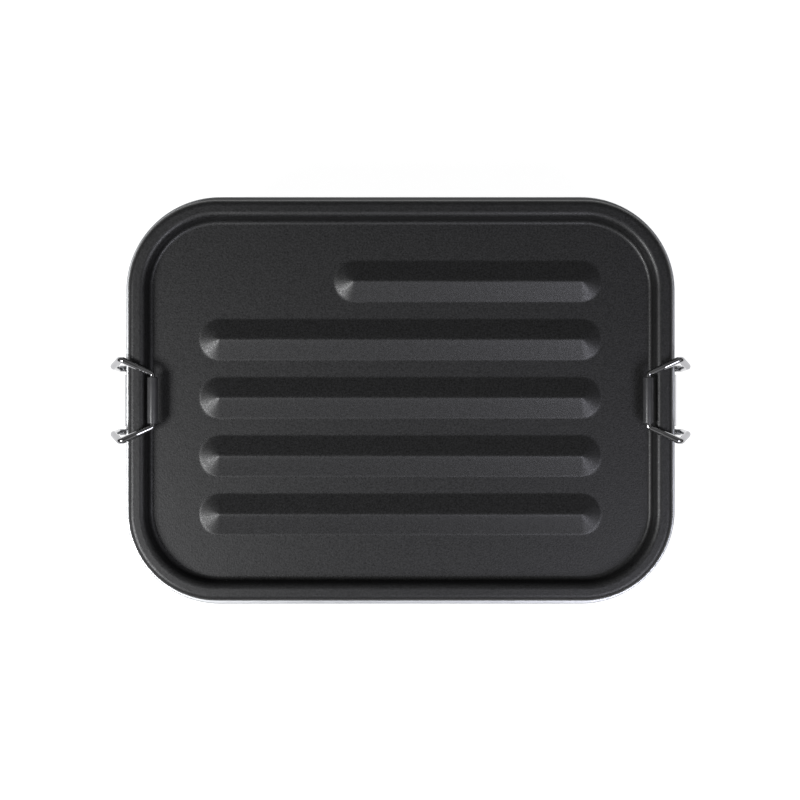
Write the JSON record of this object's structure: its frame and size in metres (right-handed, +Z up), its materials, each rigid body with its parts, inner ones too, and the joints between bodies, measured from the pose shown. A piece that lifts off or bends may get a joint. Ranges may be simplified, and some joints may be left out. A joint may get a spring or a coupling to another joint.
{
  "type": "metal lunch box",
  "caption": "Rectangular metal lunch box with round corners, a ribbed black lid and a wire clip with a roller on each short side.",
  "frame": {"origin": "middle of the footprint, on the surface that the box stands on", "axes": "+X along the long side, +Y towards the side with the short rib, +Z up"},
  "size_m": [0.2106, 0.1492, 0.0651],
  "materials": {
    "bare_aluminium": "satin, drawn aluminium",
    "black_coat": "fine-textured black powder coat",
    "silicone": "matt silicone",
    "polished_wire": "polished stainless wire",
    "dark_plastic": "smooth dark plastic",
    "pressed_steel": "pressed stainless steel",
    "rivet_aluminium": "set rivet, satin"
  },
  "bodies": {
    "tray": {"tray": "bare_aluminium", "hinge_plate_left": "pressed_steel", "hinge_plate_right": "pressed_steel", "rivet_left_a": "rivet_aluminium", "rivet_left_b": "rivet_aluminium", "rivet_right_a": "rivet_aluminium", "rivet_right_b": "rivet_aluminium", "rivet_washer_left_a": "pressed_steel", "rivet_washer_left_b": "pressed_steel", "rivet_washer_right_a": "pressed_steel", "rivet_washer_right_b": "pressed_steel"},
    "lid": {"lid": "black_coat", "lid_gasket": "silicone"},
    "clip_left": {"clip_wire_left": "polished_wire"},
    "clip_right": {"clip_wire_right": "polished_wire"},
    "roller_left": {"clip_roller_left": "dark_plastic"},
    "roller_right": {"clip_roller_right": "dark_plastic"}
  },
  "joints": [
    {"name": "lid_lift", "type": "slide", "parent": "tray", "child": "lid", "axis": [0, 0, 1], "range_m": [0, 0.12]},
    {"name": "clip_left_swing", "type": "hinge", "parent": "tray", "child": "clip_left", "pos_m": [-0.0993, 0, 0.045], "axis": [0, -1, 0], "range_deg": [0, 100]},
    {"name": "clip_right_swing", "type": "hinge", "parent": "tray", "child": "clip_right", "pos_m": [0.0993, 0, 0.045], "axis": [0, 1, 0], "range_deg": [0, 100]},
    {"name": "roller_left_spin", "type": "hinge", "parent": "clip_left", "child": "roller_left", "pos_m": [-0.08925, 0, 0.0622], "axis": [0, 1, 0], "continuous": true},
    {"name": "roller_right_spin", "type": "hinge", "parent": "clip_right", "child": "roller_right", "pos_m": [0.08925, 0, 0.0622], "axis": [0, 1, 0], "continuous": true}
  ]
}
